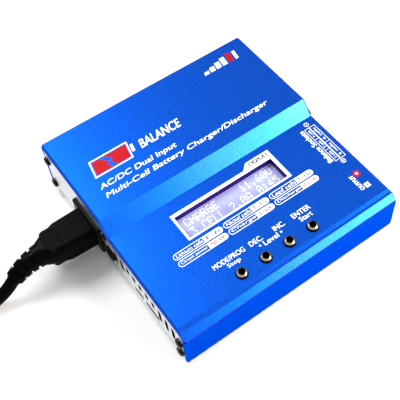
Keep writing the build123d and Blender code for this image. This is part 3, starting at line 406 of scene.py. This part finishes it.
# ---- printing on the case -------------------------------------------------------------
LOW_TOP = 29.8
HIGH_TOP = 37.7
INK_GAP = 0.02
INK_THICK = 0.04
SECOND_STRIKE = 0.01       # how much higher the second strike of bold letters lies
STRIKE_RISE = 0.3          # its shift across the letters, as a share of its shift along them
CIRCLE_STEPS = 28
HALF_ROUND_STEPS = 6
WINDOW = (-33.6, 30.5, -25.55, -10.65)     # left, right, front and back of the hole in the case


def circle(x, y, radius):
    """Points round a circle."""
    turn = [2 * math.pi * i / CIRCLE_STEPS for i in range(CIRCLE_STEPS)]
    return [(x + radius * math.cos(a), y + radius * math.sin(a)) for a in turn]


def half_round(x, y, radius, middle):
    """Points along a half circle that faces the angle in its middle."""
    steps = HALF_ROUND_STEPS
    turn = [middle + math.pi * (i / steps - 0.5) for i in range(steps + 1)]
    return [(x + radius * math.cos(a), y + radius * math.sin(a)) for a in turn]


def pill_part(x0, x1, y0, y1, left, right):
    """An outline with half-round ends where left or right is true."""
    radius = (y1 - y0) / 2
    middle = (y0 + y1) / 2
    points = []
    if right:
        points += half_round(x1 - radius, middle, radius, 0.0)
    else:
        points += [(x1, y0), (x1, y1)]
    if left:
        points += half_round(x0 + radius, middle, radius, math.pi)
    else:
        points += [(x0, y1), (x0, y0)]
    return points


class Print:
    """One ink's printing on one flat top: outlines gathered into a single thin mesh."""

    def __init__(self, name, top):
        self.name = name
        self.base = top + INK_GAP
        self.mesh = bmesh.new()

    def polygon(self, points):
        """A filled outline."""
        verts = [self.mesh.verts.new((x * MM, y * MM, self.base * MM)) for x, y in points]
        self.mesh.faces.new(verts)

    def box(self, x0, x1, y0, y1, lean=0.0):
        """A filled rectangle whose top is shifted sideways by the lean."""
        self.polygon([(x0, y0), (x1, y0), (x1 + lean, y1), (x0 + lean, y1)])

    def line_inside(self, points, width):
        """A closed line of this width along the inside of a convex outline."""
        count = len(points)
        centre = Vector((sum(p[0] for p in points) / count, sum(p[1] for p in points) / count))
        outer = [Vector(p) for p in points]
        inner = []
        for i, corner in enumerate(outer):
            before = (corner - outer[i - 1]).normalized()
            after = (outer[(i + 1) % count] - corner).normalized()
            normals = [Vector((-d.y, d.x)) for d in (before, after)]
            for normal in normals:
                if normal.dot(centre - corner) < 0:
                    normal.negate()
            bisector = (normals[0] + normals[1]).normalized()
            inner.append(corner + bisector * (width / max(0.3, bisector.dot(normals[0]))))
        for i in range(count):
            j = (i + 1) % count
            self.polygon([tuple(outer[i]), tuple(outer[j]), tuple(inner[j]), tuple(inner[i])])

    def text(self, words, x0, x1, y0, y1, lean=0.0, turned=False, bold=0.0):
        """Words that fill the box, reading along X, or Y if turned, and printed twice if bold."""
        curve = bpy.data.curves.new("words", "FONT")
        curve.body = words
        curve.shear = lean
        source = bpy.data.objects.new("words", curve)
        scene.collection.objects.link(source)
        bpy.context.view_layer.update()
        mesh = bpy.data.meshes.new_from_object(source)
        bpy.data.objects.remove(source)
        low = [min(v.co[i] for v in mesh.vertices) for i in range(2)]
        high = [max(v.co[i] for v in mesh.vertices) for i in range(2)]
        length, height = (y1 - y0, x1 - x0) if turned else (x1 - x0, y1 - y0)
        scale = (length / (high[0] - low[0]), height / (high[1] - low[1]))
        strikes = [(0.0, self.base)]
        if bold:
            strikes.append((bold, self.base + SECOND_STRIKE))
        for shift, base in strikes:
            made = []
            for vert in mesh.vertices:
                along = (vert.co.x - low[0]) * scale[0] + shift
                across = (vert.co.y - low[1]) * scale[1] + STRIKE_RISE * shift
                x, y = (x1 - across, y0 + along) if turned else (x0 + along, y0 + across)
                made.append(self.mesh.verts.new((x * MM, y * MM, base * MM)))
            for face in mesh.polygons:
                self.mesh.faces.new([made[i] for i in face.vertices])
        bpy.data.meshes.remove(mesh)

    def finish(self, surface):
        """Give the ink its thickness and put it on the case."""
        flat = list(self.mesh.faces)
        for face in flat:
            face.normal_update()
            if face.normal.z < 0:
                face.normal_flip()
        raised = bmesh.ops.extrude_face_region(self.mesh, geom=flat)["geom"]
        lifted = [item for item in raised if isinstance(item, bmesh.types.BMVert)]
        bmesh.ops.translate(self.mesh, vec=(0, 0, INK_THICK * MM), verts=lifted)
        bmesh.ops.recalc_face_normals(self.mesh, faces=self.mesh.faces)
        mesh = bpy.data.meshes.new(self.name)
        self.mesh.to_mesh(mesh)
        self.mesh.free()
        mesh.materials.append(surface.material)
        piece = bpy.data.objects.new(self.name, mesh)
        scene.collection.objects.link(piece)
        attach(piece, CASE)


GAUGE_LEFT = 34.0
GAUGE_FRONT = 56.0
BAR_PITCH = 4.4
BAR_WIDTH = 3.2
BAR_LOWEST = 2.2
BAR_RISE = 1.3             # how much longer each bar is than the one before


def print_gauge(white, red):
    """Four white bars that grow, a tall red one, and a narrow white one after it."""
    for i in range(4):
        left = GAUGE_LEFT + BAR_PITCH * i
        back = GAUGE_FRONT + BAR_LOWEST + BAR_RISE * i
        white.box(left, left + BAR_WIDTH, GAUGE_FRONT, back, 0.8)
    left = GAUGE_LEFT + BAR_PITCH * 4
    red.box(left, left + BAR_WIDTH, GAUGE_FRONT, 63.2, 1.2)
    white.box(56.4, 58.4, GAUGE_FRONT, 62.4, 1.0)


def print_high_plateau():
    """A battery mark with a bolt, its name and two lines of words, and a small bar gauge."""
    white = Print("print_back_white", HIGH_TOP)
    red = Print("print_back_red", HIGH_TOP)
    shell = [(-55.6, 31.2), (-31.4, 31.2), (-29.2, 43.0), (-53.4, 43.0)]
    terminal = [(-29.9, 34.6), (-28.2, 34.6), (-27.2, 39.8), (-28.9, 39.8)]
    charge_left = [
        (-53.9, 32.6), (-43.4, 32.6), (-46.0, 36.2), (-43.2, 36.2), (-47.4, 41.6), (-52.2, 41.6)
    ]
    charge_right = [
        (-40.8, 32.6), (-32.5, 32.6), (-30.8, 41.6), (-45.1, 41.6), (-39.9, 37.6), (-42.8, 37.6)
    ]
    white.line_inside(shell, 0.8)
    white.polygon(terminal)
    red.polygon(charge_left)
    red.polygon(charge_right)
    white.text("BALANCE", -24.6, 2.6, 33.4, 39.6, lean=0.3, bold=0.22)
    slanted = {"lean": 0.2, "bold": 0.16}
    white.text("AC/DC Dual Input", -57.0, -8.25, 21.9, 26.4, **slanted)
    white.text("Multi-Cell Battery Charger/Discharger", -57.0, 50.1, 15.5, 19.8, **slanted)
    print_gauge(white, red)
    white.finish(INK_WHITE)
    red.finish(INK_RED)


PILL_COLUMNS = [(-47.75, -17.1), (-16.1, 13.25), (14.25, 43.5)]
PILL_ROWS = [(-33.0, -29.05), (-37.8, -33.9)]
PILL_SPLIT = 0.62          # the name's share of a pill
PILL_WORDS = [
    [("Lithium cells", "1-6"), ("Nickel cells", "1-15"), ("Lead cells", "1-10")],
    [("Circuit power", "50 W"), ("Charge", "0.1-6 A"), ("Discharge", "0.1-2 A")],
]


WINDOW_RIM = 0.2           # of bare metal between the hole and the white line
FRAME_OUTER = (-35.25, 32.75, -26.8, -8.45)


def print_display_frame(white, dark):
    """A white line round the display window, with a named tab at its back right."""
    left, right, front, back = FRAME_OUTER
    line_left = WINDOW[0] - WINDOW_RIM
    line_right = WINDOW[1] + WINDOW_RIM
    line_front = WINDOW[2] - WINDOW_RIM
    line_back = WINDOW[3] + WINDOW_RIM
    white.box(left, right, front, line_front)
    white.box(left, right, line_back, back)
    white.box(left, line_left, line_front, line_back)
    white.box(line_right, right, line_front, line_back)
    white.polygon([(13.5, back), (right, back), (right, -4.65), (17.5, -4.65)])
    dark.text("DISPLAY", 18.4, 31.4, -8.2, -5.5, bold=0.3)


def print_ranges(white, dark, red):
    """Two rows of pills: a name in a blue half, and its range in a white half."""
    for (y0, y1), words, ink in zip(PILL_ROWS, PILL_WORDS, (dark, red)):
        for (x0, x1), (name, value) in zip(PILL_COLUMNS, words):
            split = x0 + PILL_SPLIT * (x1 - x0)
            white.line_inside(pill_part(x0, split, y0, y1, True, False), 0.36)
            white.polygon(pill_part(split, x1, y0, y1, False, True))
            white.text(name, x0 + 1.6, split - 0.9, y0 + 0.95, y1 - 0.85, lean=0.15)
            ink.text(value, split + 1.5, x1 - 2.0, y0 + 0.9, y1 - 0.9, bold=0.16)


BUTTON_WORDS = [
    ("MODE/PROG", -34.9, -15.5, -49.2, -46.2),
    ("DEC.", -12.0, -4.0, -49.2, -46.2),
    ("INC.", 3.5, 10.4, -49.2, -46.2),
    ("ENTER", 15.9, 27.5, -49.2, -46.2),
    ("Stop", -28.3, -20.5, -53.0, -50.0),
    ("Level", -5.6, 3.6, -53.0, -50.0),
    ("Start", 18.0, 25.9, -53.0, -50.0),
]


def print_button_words(white):
    """Two rows of words behind the buttons."""
    for words, x0, x1, y0, y1 in BUTTON_WORDS:
        white.text(words, x0, x1, y0, y1, bold=0.06)
    white.polygon([(-8.75, -51.3), (-7.4, -52.0), (-7.4, -50.6)])
    white.polygon([(6.75, -51.3), (5.4, -50.6), (5.4, -52.0)])


GUIDE_X = (57.8, 61.2, 65.1)
GUIDE_Y = (-33.8, -6.55)


def print_socket_guide(white, dark, red):
    """The table of the balance sockets, and the marks of the output sockets."""
    white.text("Balance Sockets", 54.0, 57.0, -32.8, -6.5, turned=True, bold=0.2)
    front, back = GUIDE_Y
    columns = ((GUIDE_X[0], GUIDE_X[1], 3, 2), (GUIDE_X[1], GUIDE_X[2], 2, 5))
    for x0, x1, cells, first in columns:
        white.line_inside([(x0, front), (x1, front), (x1, back), (x0, back)], 0.28)
        step = (back - front) / cells
        for i in range(cells):
            near = front + step * i
            if i:
                white.box(x0, x1, near - 0.12, near + 0.12)
            low, high = near + 1.7, near + step - 1.7
            middle = (x0 + x1) / 2
            white.text(f"{first + i} cells", middle - 0.75, middle + 0.75, low, high, turned=True)
    for y, plus in ((-4.05, False), (-35.95, True)):
        white.line_inside(circle(61.4, y, 1.5), 0.3)
        white.box(61.25, 61.55, y - 0.8, y + 0.8)
        if plus:
            white.box(60.6, 62.2, y - 0.15, y + 0.15)
    red.polygon(circle(61.1, -46.95, 2.1))
    white.box(59.4, 62.4, -57.4, -54.4)
    dark.box(60.55, 61.25, -56.8, -55.0)
    white.text("OUTPUT", 56.1, 58.5, -57.2, -46.3, turned=True, bold=0.2)


def print_front_plateau():
    """All the printing on the low plateau, in three inks and three layers."""
    over = LOW_TOP + INK_THICK + INK_GAP
    white = Print("print_front_white", LOW_TOP)
    dark = Print("print_front_dark", over)
    red = Print("print_front_red", over)
    over_red = Print("print_front_plus", over + INK_THICK + INK_GAP)
    print_display_frame(white, dark)
    print_ranges(white, dark, red)
    print_button_words(white)
    print_socket_guide(white, dark, red)
    over_red.box(60.2, 62.0, -47.3, -46.6)
    over_red.box(60.75, 61.45, -47.85, -46.05)
    white.finish(INK_WHITE)
    over_red.finish(INK_WHITE)
    dark.finish(INK_DARK)
    red.finish(INK_RED)


print_high_plateau()
print_front_plateau()


# ---- display characters ---------------------------------------------------------------
# Five columns to a character, lowest bit at the top
DOT_ROWS = 7
DOT_FONT = {
    "0": (0x3E, 0x51, 0x49, 0x45, 0x3E), "1": (0x00, 0x42, 0x7F, 0x40, 0x00),
    "2": (0x42, 0x61, 0x51, 0x49, 0x46), "3": (0x21, 0x41, 0x45, 0x4B, 0x31),
    "4": (0x18, 0x14, 0x12, 0x7F, 0x10), "5": (0x27, 0x45, 0x45, 0x45, 0x39),
    "6": (0x3C, 0x4A, 0x49, 0x49, 0x30), "A": (0x7E, 0x11, 0x11, 0x11, 0x7E),
    "C": (0x3E, 0x41, 0x41, 0x41, 0x22), "E": (0x7F, 0x49, 0x49, 0x49, 0x41),
    "G": (0x3E, 0x41, 0x49, 0x49, 0x7A), "H": (0x7F, 0x08, 0x08, 0x08, 0x7F),
    "L": (0x7F, 0x40, 0x40, 0x40, 0x40), "R": (0x7F, 0x09, 0x19, 0x29, 0x46),
    "V": (0x1F, 0x20, 0x40, 0x20, 0x1F), ".": (0x00, 0x60, 0x60, 0x00, 0x00),
    ":": (0x00, 0x36, 0x36, 0x00, 0x00), " ": (0, 0, 0, 0, 0),
}
DISPLAY_ROWS = ["CHARGE    11.60V", "3 CELL 2.0A 0:45"]
GLASS_TOP = 26.0
CHARACTER_PITCH = 3.65
CHARACTER_FIRST = -30.2
DOT_PITCH = (0.6, 0.74)
DOT_SIZE = (0.54, 0.68)
ROW_TOPS = (-12.2, -18.9)


def make_characters():
    """The display's two rows of dot characters, just above the glass."""
    ink = Print("display_characters", GLASS_TOP)
    for words, top in zip(DISPLAY_ROWS, ROW_TOPS):
        for place, letter in enumerate(words):
            for column, bits in enumerate(DOT_FONT[letter]):
                for row in range(DOT_ROWS):
                    if bits >> row & 1:
                        x = CHARACTER_FIRST + CHARACTER_PITCH * place + DOT_PITCH[0] * column
                        y = top - DOT_PITCH[1] * row
                        ink.box(x, x + DOT_SIZE[0], y - DOT_SIZE[1], y)
    ink.finish(INK_WHITE)


make_characters()


# The collar is painted shade: a dark violet sheet on the walls of the display's recess
SHADE_THICK = 0.15
SHADE_LOW = GLASS_TOP + 0.05
SHADE_HIGH = LOW_TOP - 0.1


def make_recess_shade():
    """A thin dark collar of painted violet shade between the window's edge and the glass, where
    shade and the backlight's glow fall on the recess walls.
    """
    left, right, front, back = WINDOW
    mesh = bmesh.new()
    rows = []
    for inset in (0.0, SHADE_THICK):
        for height in (SHADE_LOW, SHADE_HIGH):
            corners = [
                (left + inset, front + inset),
                (right - inset, front + inset),
                (right - inset, back - inset),
                (left + inset, back - inset),
            ]
            rows.append([mesh.verts.new((x * MM, y * MM, height * MM)) for x, y in corners])
    outer_low, outer_high, inner_low, inner_high = rows
    loops = (outer_low, outer_high, inner_high, inner_low, outer_low)
    for near, far in zip(loops, loops[1:]):
        for i in range(4):
            j = (i + 1) % 4
            mesh.faces.new([near[i], near[j], far[j], far[i]])
    bmesh.ops.recalc_face_normals(mesh, faces=mesh.faces)
    data = bpy.data.meshes.new("recess_painted_shade")
    mesh.to_mesh(data)
    mesh.free()
    data.materials.append(SURFACES["black_metal"].material)
    shade_collar = bpy.data.objects.new("recess_painted_shade", data)
    scene.collection.objects.link(shade_collar)
    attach(shade_collar, CASE)


make_recess_shade()


# ---- floor and light ------------------------------------------------------------------
FLOOR_HALF = 4.0           # half its width


def make_floor():
    """A plain white floor."""
    surface = Surface("floor", (0.76, 0.76, 0.76), 0.6)
    surface.rough(surface.noise(30.0), 0.55, 0.65)
    mesh = bpy.data.meshes.new("floor")
    half = FLOOR_HALF
    corners = [(-half, -half, 0), (half, -half, 0), (half, half, 0), (-half, half, 0)]
    mesh.from_pydata(corners, [], [(0, 1, 2, 3)])
    mesh.materials.append(surface.material)
    floor = bpy.data.objects.new("floor", mesh)
    scene.collection.objects.link(floor)


def make_light(name, place, target, size, power, colour):
    """A soft rectangular light aimed at a point."""
    data = bpy.data.lights.new(name, "AREA")
    data.shape = "RECTANGLE"
    data.size, data.size_y = size
    data.energy = power
    data.color = colour
    light = bpy.data.objects.new(name, data)
    scene.collection.objects.link(light)
    aim = (Vector(target) - Vector(place)).to_track_quat("-Z", "Y")
    light.matrix_world = Matrix.Translation(place) @ aim.to_matrix().to_4x4()


def make_world():
    """Even pale light from all round."""
    world = bpy.data.worlds.new("studio")
    world.use_nodes = True
    background = world.node_tree.nodes["Background"]
    background.inputs["Color"].default_value = (1.0, 1.0, 1.0, 1.0)
    background.inputs["Strength"].default_value = 0.68
    scene.world = world


# Name, place, point aimed at, size, power in watts, colour
LIGHTS = [
    ("key", (0.68, -0.33, 0.79), (0, 0, 0), (0.45, 0.45), 7.5, (1, 1, 1)),
    ("back_left", (-0.29, 0.75, 0.95), (-0.05, 0, 0), (0.5, 0.6), 14.0, (1, 1, 1)),
    ("front_right", (0.66, -0.76, 0.42), (0.03, 0, 0.03), (0.34, 0.3), 12.5, (1.0, 0.88, 0.78)),
    ("front_fill", (0.42, -0.86, 0.42), (0.0, 0, 0.03), (0.26, 0.3), 2.6, (1.0, 0.9, 0.8)),
]

make_floor()
make_world()
for row in LIGHTS:
    make_light(*row)
scene.view_settings.view_transform = "Standard"

bpy.context.view_layer.update()
